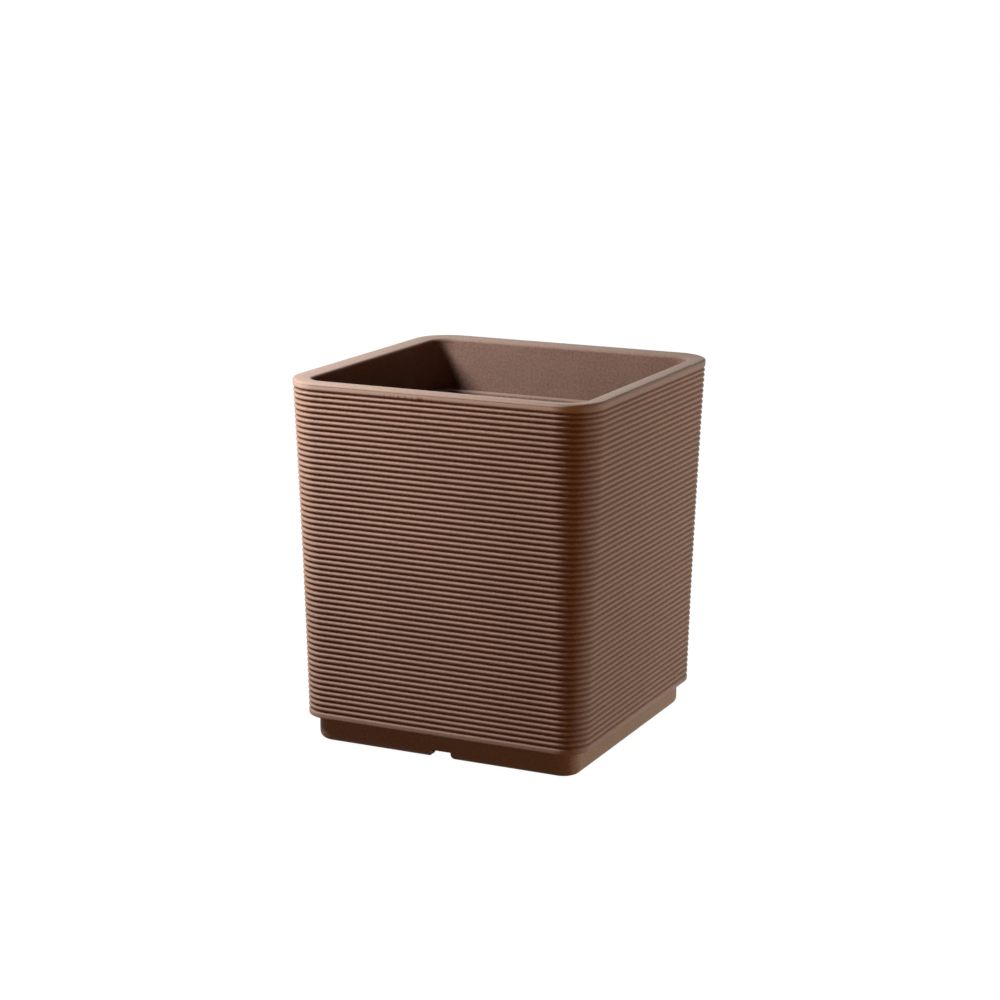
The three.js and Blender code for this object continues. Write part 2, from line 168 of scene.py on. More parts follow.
# Base colours of the plastics
SHELL_BROWN = (0.292, 0.189, 0.147)
# Crests of the reeds: painted highlight
CREST_HIGHLIGHT_TONE = (0.425, 0.303, 0.262)
# Grooves of the reeds: painted shade; the front's small scuffs take this colour too
GROOVE_SHADE_AND_SCUFF_TONE = (0.11, 0.036, 0.011)
# Walls inside the rim and the liner: painted shade, darker than the outside
SHADED_INSIDE_TONE = (0.168, 0.102, 0.08)
# Top of the rim and of the liner's lip: painted paler, as lit from above
LIT_TOP_TONE = (0.28, 0.2, 0.162)
# Front of the rim's face and of the shell's upper edge: painted highlight
LIT_EDGE_TONE = (0.45, 0.325, 0.265)
FOOT_BROWN = (0.282, 0.178, 0.117)
DARK_BROWN = (0.07, 0.042, 0.03)
BLACK = (0.014, 0.013, 0.012)

# Noise in the plastics, as scale per metre and detail
CLOUDS = (14, 4)
GRAIN = (330, 3)
SPECKS = (900, 2)
GRIT = (2600, 2)

# How the noise tints a plastic: from which value, fully at which, how strongly, and towards
# which share of its colour
CLOUD_TINT = {"start": 0.32, "full": 0.68, "spread": 0.07}
TOP_TINT = {"start": 0.3, "full": 0.7, "spread": 0.1}
GRAIN_TINTS = (
    {"start": 0.5, "full": 0.7, "strength": 0.3, "share": 1.6},
    {"start": 0.5, "full": 0.3, "strength": 0.42, "share": 0.6},
)
SPECK_TINTS = (
    {"start": 0.62, "full": 0.78, "strength": 0.16, "share": 1.7},
    {"start": 0.36, "full": 0.24, "strength": 0.3, "share": 0.55},
)
GLOSS_RANGE = (0.3, 0.7)      # values of the clouds between which the roughness varies
GLOSS_SPREAD = 0.05

# Painted highlight on the reeds' crests and painted shade in their grooves, each between the
# depths where it ends and where it is full
CREST_DEPTHS = (0.25, 0.0)
CREST_HIGHLIGHT_SHARE = 0.3
GROOVE_DEPTHS = (0.2, 0.9)
GROOVE_SHADE = 0.62

# Painted highlight on the front's upper edge, and small scuffs there: how far behind the front
# they end and are full, then the scuffs
FRONT_FADE = (CORNER_RADIUS / 2, CORNER_RADIUS / 10)
NICKS = (330, 3)
NICK_STRETCH = (1, 0, 0.12)
NICK_RANGE = (0.49, 0.62)
NICK_SHADE = 0.62
NICK_MIDDLE = -32 * MM
NICK_REACH = 56 * MM
NICK_CORE = 0.4 * NICK_REACH
NICK_HEIGHT = 6 * MM
NICK_FULL_HEIGHT = 0.6 * NICK_HEIGHT

# Floor and light
FLOOR_SIZE = 12
FLOOR_GLOW = 0.985
FLOOR_COLOUR = (0.04, 0.04, 0.04)
FLOOR_ROUGHNESS = 0.9
FLOOR_SPECULAR = 0.1
WHITE = (1.0, 1.0, 1.0)
NO_LIGHT = (0.0, 0.0, 0.0)
ROOM_LIGHT = (1.0, 0.35, 0.06)
ROOM_LIGHT_TOP = 0.3          # sine of the elevation where the room's light ends
AMBER = (1, 0.5, 0.18)
COOL = (0.8, 0.98, 1)

# Camera, fitted to the photograph's edges
CAMERA_AZIMUTH = math.radians(25.34)
CAMERA_ELEVATION = math.radians(12.778)
CAMERA_ROLL = math.radians(0.243)
CAMERA_DISTANCE = 2992.5 * MM
CAMERA_RIGHT = 3.88 * MM
CAMERA_UP = -56.43 * MM
CAMERA_LENS_MM = 87.41
CAMERA_SENSOR_MM = 36

# Half widths and levels that several pieces share
rim_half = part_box("rim_collar")[1].x
mouth_half = rim_half - RIM_BREADTH
skirt_foot_half = mouth_half - SKIRT_DRAFT
skirt_foot_radius = CORNER_RADIUS - RIM_BREADTH - SKIRT_DRAFT
ledge_edge_half = skirt_foot_half - LEDGE_BREADTH
foot_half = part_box("base_plinth")[1].x
flange_opening_half = foot_half - SHOULDER_BREADTH
shell_low, shell_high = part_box("ribbed_shell")
shell_height = shell_high.z - shell_low.z
lip_half = rim_half - RIM_OVERHANG - SHELL_LEAN
liner_low, liner_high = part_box("liner_pot")
liner_lip_level = liner_high.z - LINER_LIP_THICKNESS
liner_top_half = ledge_edge_half - LIFT_CLEARANCE
liner_radius = skirt_foot_radius - LIFT_CLEARANCE
planter_middle = Vector((0, 0, cad_high.z / 2))


# Rings, sections and meshes

def rounded_square(half, radius, z):
    """A rounded square at height z, counter-clockwise from above."""
    points = []
    for corner in range(4):
        side_x = 1 if corner in (0, 3) else -1
        side_y = 1 if corner < 2 else -1
        for step in range(CORNER_STEPS + 1):
            angle = (corner + step / CORNER_STEPS) * math.pi / 2
            x = side_x * (half - radius) + radius * math.cos(angle)
            y = side_y * (half - radius) + radius * math.sin(angle)
            points.append(Vector((x, y, z)))
    return points


def rings_within(outer_half, outer_radius):
    """Maker of rings that share their corner's centre with an outer one."""
    return lambda half, z: rounded_square(half, outer_radius - (outer_half - half), z)


def circle(radius, z, x=0, y=0):
    angles = (2 * math.pi * step / ROUND_STEPS for step in range(ROUND_STEPS))
    return [Vector((x + radius * math.cos(a), y + radius * math.sin(a), z)) for a in angles]


def arc(across, z, radius, first_degrees, last_degrees, steps=EDGE_STEPS):
    """Part of a circle in a wall's section, as (half width, height) pairs."""
    pairs = []
    for step in range(steps + 1):
        angle = math.radians(first_degrees + (last_degrees - first_degrees) * step / steps)
        pairs.append((across + radius * math.cos(angle), z + radius * math.sin(angle)))
    return pairs


def slot_outline(x, y, length, width):
    """Round-ended slot along X about a point, as (x, y) pairs."""
    radius = width / 2
    reach = length / 2 - radius
    return arc(x + reach, y, radius, -90, 90) + arc(x - reach, y, radius, 90, 270)


def mesh_object(name, points, faces):
    mesh = bpy.data.meshes.new(name)
    mesh.from_pydata([tuple(p) for p in points], [], faces)
    mesh.validate()
    made = bpy.data.objects.new(name, mesh)
    bpy.context.scene.collection.objects.link(made)
    return made


def loft(name, rings, closed=False):
    """Skin over a row of rings that climbs on the outside, closed on itself or capped."""
    count = len(rings[0])
    points = [p for ring in rings for p in ring]
    faces = []
    spans = len(rings) if closed else len(rings) - 1
    for span in range(spans):
        here = span * count
        after = (span + 1) % len(rings) * count
        for j in range(count):
            k = (j + 1) % count
            faces.append((here + j, here + k, after + k, after + j))
    if not closed:
        faces.append(tuple(reversed(range(count))))
        faces.append(tuple(range(len(points) - count, len(points))))
    return mesh_object(name, points, faces)


def shaped_mesh(target):
    """Mesh of an object or curve as its settings and modifiers shape it."""
    bpy.context.view_layer.update()
    depsgraph = bpy.context.evaluated_depsgraph_get()
    return bpy.data.meshes.new_from_object(target.evaluated_get(depsgraph))


def combine(target, tool, operation):
    """Cuts the tool out of the target, or joins it on, and deletes the tool."""
    modifier = target.modifiers.new("combine", "BOOLEAN")
    modifier.object = tool
    modifier.operation = operation
    modifier.solver = "EXACT"
    shaped = shaped_mesh(target)
    target.modifiers.clear()
    target.data = shaped
    bpy.data.objects.remove(tool)


def mark_rings(target, attribute, marks, rings):
    """Writes one value per ring into a loft's points, zero for the rings past the last mark."""
    marks = marks + [0.0] * (len(rings) - len(marks))
    spread = [mark for mark in marks for _ in rings[0]]
    target.data.attributes.new(attribute, "FLOAT", "POINT").data.foreach_set("value", spread)


def smooth(target):
    target.data.shade_smooth()
    target.data.set_sharp_from_angle(angle=SHARP_ANGLE)


# Shell

def swell(share):
    """Curve that rises from 0 to 1 halfway and falls back to 0."""
    return 4 * share * (1 - share)


def crest_at(z):
    """Half width over the reeds at a height above the shell's underside."""
    climb = z / shell_height
    return lip_half + SHELL_LEAN * climb - SHELL_HOLLOW * swell(climb)


def shell_inner_at(z):
    return crest_at(z) - REED_DEPTH - SHELL_WALL


def groove_at(share):
    """Depth, from 0 to 1, part of the way from a reed's crest to the middle of a groove."""
    return (0.5 - 0.5 * math.cos(math.pi * share)) ** REED_FULLNESS


def reed_level(count):
    """Height of the groove above that many reeds, with the bow of the middle reeds and the
    sag of the top groove."""
    pitch = (shell_height - LIP_HEIGHT) / REED_COUNT
    bow = REED_BOW * swell(count / REED_COUNT)
    near_top = max(0, 1 - abs(count - (REED_COUNT - 1)))
    return LIP_HEIGHT + pitch * (count + bow) - TOP_GROOVE_SAG * near_top


def shell_section():
    """Outer face from the lip to the rim, as (half width, height, mark). Each groove runs from
    the crest below it to the crest above."""
    lip_round = arc(crest_at(0) - LIP_ROUND, LIP_ROUND, LIP_ROUND, -90, 0)
    section = [(half, z, 0.0) for half, z in lip_round]
    for groove in range(REED_COUNT):
        is_top = groove == REED_COUNT - 1
        for step in range(REED_STEPS + is_top):
            phase = step / REED_STEPS
            depth = groove_at(1 - abs(2 * phase - 1))
            z = reed_level(groove + phase - 0.5)
            mark = LIT_EDGE_MARK if is_top and phase > LIT_EDGE_FROM else depth
            section.append((crest_at(z) - REED_DEPTH * depth, z, mark))
    round_half = crest_at(shell_height) - SHELL_TOP_ROUND
    top_round = arc(round_half, shell_height - SHELL_TOP_ROUND, SHELL_TOP_ROUND, 0, 90)
    return section + [(half, z, LIT_EDGE_MARK) for half, z in top_round]


def make_shell():
    """Outer wall: lip, rounded reeds and an inward flange below."""
    ring = rings_within(rim_half, CORNER_RADIUS)
    opening = rings_within(foot_half, FOOT_CORNER_RADIUS)
    section = shell_section()
    rings = [opening(flange_opening_half, shell_low.z)]
    rings += [ring(half, shell_low.z + z) for half, z, _ in section]
    for step in range(INNER_WALL_STEPS, -1, -1):
        z = SHELL_FLANGE + (shell_height - SHELL_FLANGE) * step / INNER_WALL_STEPS
        rings.append(ring(shell_inner_at(z), shell_low.z + z))
    rings.append(opening(flange_opening_half, shell_low.z + SHELL_FLANGE))
    shell = loft("shell_reeds", rings, closed=True)
    # Groove depths and the upper edge, for the painted crest highlight, groove shade and edge
    # highlight
    mark_rings(shell, "groove", [0.0] + [mark for _, _, mark in section], rings)
    return shell


# Rim collar

def make_rim():
    """Rim that falls a little inwards, with a tongue inside the shell and a skirt that ends in
    the liner's ledge."""
    low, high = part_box("rim_collar")
    under = high.z - RIM_THICKNESS
    ledge_top = low.z + LEDGE_THICKNESS
    tongue_half = shell_inner_at(shell_height - TONGUE_DEPTH) - PUSH_FIT
    ring = rings_within(rim_half, CORNER_RADIUS)
    inner_round_z = high.z - RIM_FALL - RIM_INNER_ROUND
    section = arc(rim_half - RIM_LOWER_ROUND, under + RIM_LOWER_ROUND, RIM_LOWER_ROUND, -90, 0)
    section += arc(rim_half - RIM_OUTER_ROUND, high.z - RIM_OUTER_ROUND, RIM_OUTER_ROUND, 0, 90)
    section += arc(mouth_half + RIM_INNER_ROUND, inner_round_z, RIM_INNER_ROUND, 90, 180)
    rings = [ring(half, z) for half, z in section]
    rings.append(ring(skirt_foot_half, ledge_top))
    rings.append(rounded_square(ledge_edge_half, skirt_foot_radius, ledge_top))
    rings.append(rounded_square(ledge_edge_half, skirt_foot_radius, low.z))
    rings.append(ring(skirt_foot_half + SKIRT_WALL, low.z))
    rings.append(ring(mouth_half + SKIRT_WALL, under - RIM_FALL))
    rings.append(ring(tongue_half - TONGUE_WALL, under))
    rings.append(ring(tongue_half - TONGUE_WALL, under - TONGUE_DEPTH))
    rings.append(ring(tongue_half, under - TONGUE_DEPTH))
    rings.append(ring(tongue_half, under))
    rim = loft("rim_frame", rings, closed=True)
    # Top and outer face painted paler as lit, the front face with a further painted highlight
    mark_rings(rim, "paler", rim_marks(), rings)
    return rim


def rim_marks():
    """Marks of the rim's three rounds: under its face, over its edge and into the mouth."""
    shares = [step / EDGE_STEPS for step in range(EDGE_STEPS + 1)]
    face = [EDGE_MARK for _ in shares]
    over_edge = [max(TOP_MARK, EDGE_MARK * (1 - share)) for share in shares]
    into_mouth = [TOP_MARK * (1 - share) for share in shares]
    return face + over_edge + into_mouth


# Foot

def notch_cutter(y):
    """Drain notch through the foot's wall at y: straight top, sides that flare to the floor."""
    top = NOTCH_TOP_WIDTH / 2
    mouth = NOTCH_MOUTH_WIDTH / 2
    flare = []
    for step in range(EDGE_STEPS + 1):
        t = step / EDGE_STEPS
        x = mouth * (1 - t) ** 2 + top * (2 * t * (1 - t) + t ** 2)
        flare.append((x, NOTCH_HEIGHT * t ** 2))
    right = [(mouth, -CUT_MARGIN)] + flare
    outline = right + [(-x, z) for x, z in reversed(right)]
    reach = SOLE_BREADTH / 2 + CUT_MARGIN
    rings = [[Vector((x, y + side * reach, z)) for x, z in outline] for side in (1, -1)]
    return loft("notch", rings)


def make_foot():
    """Hollow foot with its plate, snap spigot, drain outlet and two notches."""
    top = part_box("base_plinth")[1].z
    ring = rings_within(foot_half, FOOT_CORNER_RADIUS)
    inner_half = foot_half - FOOT_WALL
    sole_half = foot_half - SOLE_BREADTH
    spigot_half = flange_opening_half - PUSH_FIT
    bead = shell_low.z + SHELL_FLANGE + PUSH_FIT
    edge_half = foot_half - FOOT_EDGE_ROUND
    plate_bottom = PLATE_TOP - PLATE_THICKNESS
    section = [(inner_half, plate_bottom), (inner_half, FOOT_EDGE_ROUND)]
    section += [(edge_half, SOLE_THICKNESS), (sole_half, SOLE_THICKNESS), (sole_half, 0)]
    section += arc(edge_half, FOOT_EDGE_ROUND, FOOT_EDGE_ROUND, -90, 0)
    section += [(foot_half, FOOT_HEIGHT), (spigot_half, FOOT_HEIGHT), (spigot_half, bead)]
    section += [(flange_opening_half + BEAD_REACH, bead), (spigot_half, bead + BEAD_HEIGHT)]
    section += [(spigot_half, top), (spigot_half - SPIGOT_WALL, top)]
    section.append((spigot_half - SPIGOT_WALL, PLATE_TOP))
    foot = loft("foot_ring", [ring(half, z) for half, z in section])
    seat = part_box("drain_plug")[0].z + GRIP_HEIGHT + PLUG_HEAD_THICKNESS
    boss_radius = OUTLET_RADIUS + OUTLET_WALL
    boss_ends = (seat, PLATE_TOP - PLATE_THICKNESS / 2)
    combine(foot, loft("boss", [circle(boss_radius, z) for z in boss_ends]), "UNION")
    bore_ends = (seat - CUT_MARGIN, PLATE_TOP + CUT_MARGIN)
    combine(foot, loft("bore", [circle(OUTLET_RADIUS, z) for z in bore_ends]), "DIFFERENCE")
    for side in (-1, 1):
        combine(foot, notch_cutter(side * (foot_half - SOLE_BREADTH / 2)), "DIFFERENCE")
    return foot


# Liner

def liner_inner_at(z):
    """Half width inside the liner at height z."""
    share = (z - liner_low.z) / (liner_lip_level - liner_low.z)
    return liner_top_half - LINER_WALL - LINER_DRAFT * (1 - share)


def make_liner():
    """Lift-out pot: holed floor with rounded edges, leaning walls and a flat lip."""
    lip_end_half = liner_high.x
    lip_round_z = liner_high.z - LINER_LIP_ROUND
    floor_half = liner_top_half - LINER_DRAFT
    floor_top = liner_low.z + LINER_FLOOR
    floor_inner = liner_inner_at(floor_top)
    wall_half = liner_top_half - LINER_WALL
    inner_radius = liner_radius - LINER_WALL
    fillet = LINER_FLOOR_ROUND
    outer = arc(floor_half - fillet, liner_low.z + fillet, fillet, -90, 0)
    outer += [(liner_top_half, liner_lip_level), (lip_end_half, liner_lip_level)]
    outer += arc(lip_end_half - LINER_LIP_ROUND, lip_round_z, LINER_LIP_ROUND, 0, 90)
    inner = arc(wall_half + LINER_LIP_ROUND, lip_round_z, LINER_LIP_ROUND, 90, 180)
    inner += arc(floor_inner - fillet, floor_top + fillet, fillet, 0, -90)
    rings = []
    for half, z in outer:
        rings.append(rounded_square(half, liner_radius - max(0, floor_half - half), z))
    for half, z in inner:
        rings.append(rounded_square(half, inner_radius - max(0, floor_inner - half), z))
    liner = loft("liner_tub", rings)
    # The lip's top is painted paler, as lit from above
    lip = range(len(outer) - EDGE_STEPS - 1, len(outer) + LIP_INNER_RINGS)
    marks = [TOP_MARK if step in lip else 0.0 for step in range(len(rings))]
    mark_rings(liner, "paler", marks, rings)
    hole_ends = (liner_low.z - CUT_MARGIN, floor_top + CUT_MARGIN)
    for row in (-1, 0, 1):
        for column in (-1, 0, 1):
            place = (column * LINER_HOLE_PITCH, row * LINER_HOLE_PITCH)
            hole = loft("hole", [circle(LINER_HOLE_RADIUS, z, *place) for z in hole_ends])
            combine(liner, hole, "DIFFERENCE")
    return liner


# Grate

def add_outline(curve, points):
    spline = curve.splines.new("POLY")
    spline.points.add(len(points) - 1)
    for target, point in zip(spline.points, points):
        target.co = (point[0], point[1], 0, 1)
    spline.use_cyclic_u = True


def even_out(mesh):
    """Turns the edges of a flat filling's triangles, so that none is left without area."""
    work = bmesh.new()
    work.from_mesh(mesh)
    triangles = [face for face in work.faces if len(face.verts) == 3]
    bmesh.ops.beautify_fill(work, faces=triangles, edges=work.edges, method="ANGLE")
    work.to_mesh(mesh)
    work.free()


def softened_plate(outlines, level):
    """Plate with softened edges about a level, from its outline and the outlines of its holes."""
    curve = bpy.data.curves.new("grate_plate", "CURVE")
    curve.dimensions = "2D"
    curve.fill_mode = "BOTH"
    curve.extrude = GRATE_THICKNESS / 2 - GRATE_EDGE_ROUND
    curve.bevel_depth = GRATE_EDGE_ROUND
    curve.bevel_resolution = GRATE_EDGE_STEPS
    curve.offset = -GRATE_EDGE_ROUND
    for outline in outlines:
        add_outline(curve, outline)
    drawn = bpy.data.objects.new("grate_plate", curve)
    bpy.context.scene.collection.objects.link(drawn)
    plate = shaped_mesh(drawn)
    bpy.data.objects.remove(drawn)
    even_out(plate)
    plate.transform(Matrix.Translation((0, 0, level)))
    return plate


def make_grate():
    """Slotted false floor with softened edges, on short legs."""
    low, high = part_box("soil_grate")
    half = high.x
    plate_middle = high.z - GRATE_THICKNESS / 2
    field = half - GRATE_MARGIN
    slot_length = (2 * field - (SLOT_COLUMNS - 1) * SLOT_BRIDGE) / SLOT_COLUMNS
    column_pitch = slot_length + SLOT_BRIDGE
    rows = math.floor(2 * field / SLOT_PITCH)
    keep_clear = FINGER_HOLE_RADIUS + SLOT_WIDTH
    outlines = [rounded_square(half, liner_radius - LINER_WALL - LIFT_CLEARANCE, 0)]
    for row in range(rows):
        y = (row - (rows - 1) / 2) * SLOT_PITCH
        for column in range(SLOT_COLUMNS):
            x = (column - (SLOT_COLUMNS - 1) / 2) * column_pitch
            if abs(y) > keep_clear or abs(x) > slot_length / 2 + keep_clear:
                outlines.append(slot_outline(x, y, slot_length, SLOT_WIDTH))
    outlines.append(circle(FINGER_HOLE_RADIUS, 0))
    grate = bpy.data.objects.new("floor_grate", softened_plate(outlines, plate_middle))
    bpy.context.scene.collection.objects.link(grate)
    leg_reach = field + GRATE_MARGIN / 2 - GRATE_LEG_RADIUS
    leg_ends = ((GRATE_LEG_TAPER * GRATE_LEG_RADIUS, low.z), (GRATE_LEG_RADIUS, plate_middle))
    for strip in range(SLOT_COLUMNS - 1):
        x = (strip + 1 - SLOT_COLUMNS / 2) * column_pitch
        for y in (-leg_reach, 0, leg_reach):
            leg = loft("leg", [circle(radius, z, x, y) for radius, z in leg_ends])
            combine(grate, leg, "UNION")
    return grate


# Plug and seal

def make_plug():
    """Stopper with a grip bar, a rounded head and a grooved shank."""
    low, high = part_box("drain_plug")
    head_low = low.z + GRIP_HEIGHT
    seat = head_low + PLUG_HEAD_THICKNESS
    shank = OUTLET_RADIUS - PLUG_CLEARANCE
    groove_floor = OUTLET_RADIUS - SEAL_SECTION - 2 * SEAL_CLEARANCE
    groove_half = SEAL_SECTION / 2 + SEAL_CLEARANCE
    groove_low = seat + SEAL_LIFT - groove_half
    groove_high = seat + SEAL_LIFT + groove_half
    edge_round_radius = PLUG_HEAD_RADIUS - PLUG_EDGE_ROUND
    section = arc(edge_round_radius, head_low + PLUG_EDGE_ROUND, PLUG_EDGE_ROUND, -90, 0)
    section += [(PLUG_HEAD_RADIUS, seat), (shank, seat), (shank, groove_low)]
    section += [(groove_floor, groove_low), (groove_floor, groove_high), (shank, groove_high)]
    section += [(shank, high.z - PLUG_TIP_CHAMFER), (shank - PLUG_TIP_CHAMFER, high.z)]
    plug = loft("plug_stopper", [circle(radius, z) for radius, z in section])
    bar = slot_outline(0, 0, GRIP_LENGTH, GRIP_WIDTH)
    bar_ends = (low.z, seat - PLUG_HEAD_THICKNESS / 2)
    grip = loft("grip", [[Vector((x, y, z)) for x, y in bar] for z in bar_ends])
    combine(plug, grip, "UNION")
    return plug


def make_seal():
    """Round ring in the plug's groove."""
    low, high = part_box("plug_seal")
    radius = SEAL_SECTION / 2
    section = arc(high.x - radius, (low.z + high.z) / 2, radius, 0, 360, SEAL_STEPS)[:-1]
    return loft("plug_ring", [circle(across, z) for across, z in section], closed=True)


# Shader nodes

def math_node(tree, operation, *values):
    """Arithmetic on one or two values, each a socket or a number."""
    node = tree.nodes.new("ShaderNodeMath")
    node.operation = operation
    for socket, value in zip(node.inputs, values):
        if isinstance(value, (int, float)):
            socket.default_value = value
        else:
            tree.links.new(value, socket)
    return node.outputs["Value"]


def split_node(tree, vector):
    """X, Y and Z of a vector, as sockets."""
    node = tree.nodes.new("ShaderNodeSeparateXYZ")
    tree.links.new(vector, node.inputs["Vector"])
    return node.outputs


def noise(tree, coordinates, scale, detail):
    node = tree.nodes.new("ShaderNodeTexNoise")
    node.inputs["Scale"].default_value = scale
    node.inputs["Detail"].default_value = detail
    tree.links.new(coordinates, node.inputs["Vector"])
    return node.outputs["Fac"]


def remap(tree, value, low, high, first=0.0, last=1.0):
    """Stretches a value from one range to another and keeps it inside."""
    node = tree.nodes.new("ShaderNodeMapRange")
    node.inputs["From Min"].default_value = low
    node.inputs["From Max"].default_value = high
    node.inputs["To Min"].default_value = first
    node.inputs["To Max"].default_value = last
    tree.links.new(value, node.inputs["Value"])
    return node.outputs["Result"]


def mix_colour(tree, factor, first, second):
    """Blend of two colours, each a socket or a tuple."""
    node = tree.nodes.new("ShaderNodeMix")
    node.data_type = "RGBA"
    tree.links.new(factor, node.inputs["Factor"])
    inputs = [socket for socket in node.inputs if socket.type == "RGBA"]
    for socket, value in zip(inputs, (first, second)):
        if isinstance(value, tuple):
            socket.default_value = (*value, 1)
        else:
            tree.links.new(value, socket)
    return next(socket for socket in node.outputs if socket.type == "RGBA")


# Plastics

def scaled(colour, share):
    return tuple(channel * share for channel in colour)


def clouded(tree, pattern, colour, start, full, spread):
    """Colour that varies a little to both sides with a noise."""
    factor = remap(tree, pattern, start, full)
    return mix_colour(tree, factor, scaled(colour, 1 - spread), scaled(colour, 1 + spread))


def flecked(tree, pattern, tone, colour, start, full, strength, share):
    """Tone with a paler or darker share of a colour where a noise passes a limit."""
    factor = remap(tree, pattern, start, full, 0, strength)
    return mix_colour(tree, factor, tone, scaled(colour, share))


def mark_of(tree, attribute):
    """What mark_rings wrote into the mesh."""
    node = tree.nodes.new("ShaderNodeAttribute")
    node.attribute_name = attribute
    return node.outputs["Fac"]


def on_front(tree, place):
    """One on the front face, fading out around its corners."""
    fade_end, fade_start = (depth - rim_half for depth in FRONT_FADE)
    return remap(tree, split_node(tree, place)["Y"], fade_end, fade_start)


def nicks(tree, place):
    """Small upright scuffs along the lower edge of the top reed, on a stretch of the front."""
    along = split_node(tree, place)
    stretched = tree.nodes.new("ShaderNodeMapping")
    stretched.inputs["Scale"].default_value = NICK_STRETCH
    tree.links.new(place, stretched.inputs["Vector"])
    pattern = noise(tree, stretched.outputs["Vector"], *NICKS)
    scuffs = remap(tree, pattern, *NICK_RANGE, 0, NICK_SHADE)
    off_middle = math_node(tree, "SUBTRACT", along["X"], NICK_MIDDLE)
    reach = remap(tree, math_node(tree, "ABSOLUTE", off_middle), NICK_REACH, NICK_CORE)
    top_groove = shell_low.z + reed_level(REED_COUNT - 1)
    height = math_node(tree, "SUBTRACT", along["Z"], top_groove)
    above = math_node(tree, "GREATER_THAN", height, 0.0)
    below = remap(tree, height, NICK_HEIGHT, NICK_FULL_HEIGHT)
    for limit in (reach, above, below, on_front(tree, place)):
        scuffs = math_node(tree, "MULTIPLY", scuffs, limit)
    return scuffs


def reed_highlight_shade_scuffs(tree, place, tone):
    """Painted highlight on the crests and painted shade in the grooves. The front's top edge gets
    a painted highlight and small scuffs.
    """
    depth = mark_of(tree, "groove")
    # Painted highlight on the crests, painted shade in the grooves, painted highlight on the
    # front's top edge
    crest = remap(tree, depth, *CREST_DEPTHS, 0, CREST_HIGHLIGHT_SHARE)
    groove = remap(tree, depth, *GROOVE_DEPTHS, 0, GROOVE_SHADE)
    edge = math_node(tree, "MULTIPLY", remap(tree, depth, 0.0, LIT_EDGE_MARK), on_front(tree, place))
    tone = mix_colour(tree, crest, tone, CREST_HIGHLIGHT_TONE)
    tone = mix_colour(tree, groove, tone, GROOVE_SHADE_AND_SCUFF_TONE)
    tone = mix_colour(tree, edge, tone, LIT_EDGE_TONE)
    return mix_colour(tree, nicks(tree, place), tone, GROOVE_SHADE_AND_SCUFF_TONE)


def lit_top_and_face(tree, place, tone):
    """Top painted paler than the walls below it, as lit from above. The front of the rim's outer
    face gets a further painted highlight.
    """
    mark = mark_of(tree, "paler")
    paler = clouded(tree, noise(tree, place, *GRAIN), LIT_TOP_TONE, **TOP_TINT)
    lit_face = remap(tree, mark, TOP_MARK, EDGE_MARK)
    # Painted highlight on the rim's outer face, on the front only
    edge = math_node(tree, "MULTIPLY", lit_face, on_front(tree, place))
    tone = mix_colour(tree, remap(tree, mark, 0, TOP_MARK), tone, paler)
    return mix_colour(tree, edge, tone, LIT_EDGE_TONE)


def moulded_plastic(name, colour, roughness, grain, specular=0.5, painted_light_and_scuffs=None):
    """Pigmented plastic: cloudy tone, fine specks and a matte grain of a given height. The last
    argument, a function, puts painted light and shade where the mesh is marked, and the shell's
    scuffs."""
    material = bpy.data.materials.new(name)
    material.use_nodes = True
    tree = material.node_tree
    shader = tree.nodes["Principled BSDF"]
    place = tree.nodes.new("ShaderNodeTexCoord").outputs["Object"]
    clouds = noise(tree, place, *CLOUDS)
    grains = noise(tree, place, *GRAIN)
    specks = noise(tree, place, *SPECKS)
    grit = noise(tree, place, *GRIT)
    tone = clouded(tree, clouds, colour, **CLOUD_TINT)
    for tint in GRAIN_TINTS:
        tone = flecked(tree, grains, tone, colour, **tint)
    for tint in SPECK_TINTS:
        tone = flecked(tree, specks, tone, colour, **tint)
    # Painted light and shade where the mesh is marked, and the shell's scuffs
    if painted_light_and_scuffs is not None:
        tone = painted_light_and_scuffs(tree, place, tone)
    tree.links.new(tone, shader.inputs["Base Color"])
    gloss = remap(tree, clouds, *GLOSS_RANGE, roughness - GLOSS_SPREAD, roughness + GLOSS_SPREAD)
    tree.links.new(gloss, shader.inputs["Roughness"])
    shader.inputs["Specular IOR Level"].default_value = specular
    bump = tree.nodes.new("ShaderNodeBump")
    bump.inputs["Strength"].default_value = 1
    bump.inputs["Distance"].default_value = grain
    tree.links.new(math_node(tree, "ADD", specks, grit), bump.inputs["Height"])
    tree.links.new(bump.outputs["Normal"], shader.inputs["Normal"])
    return material


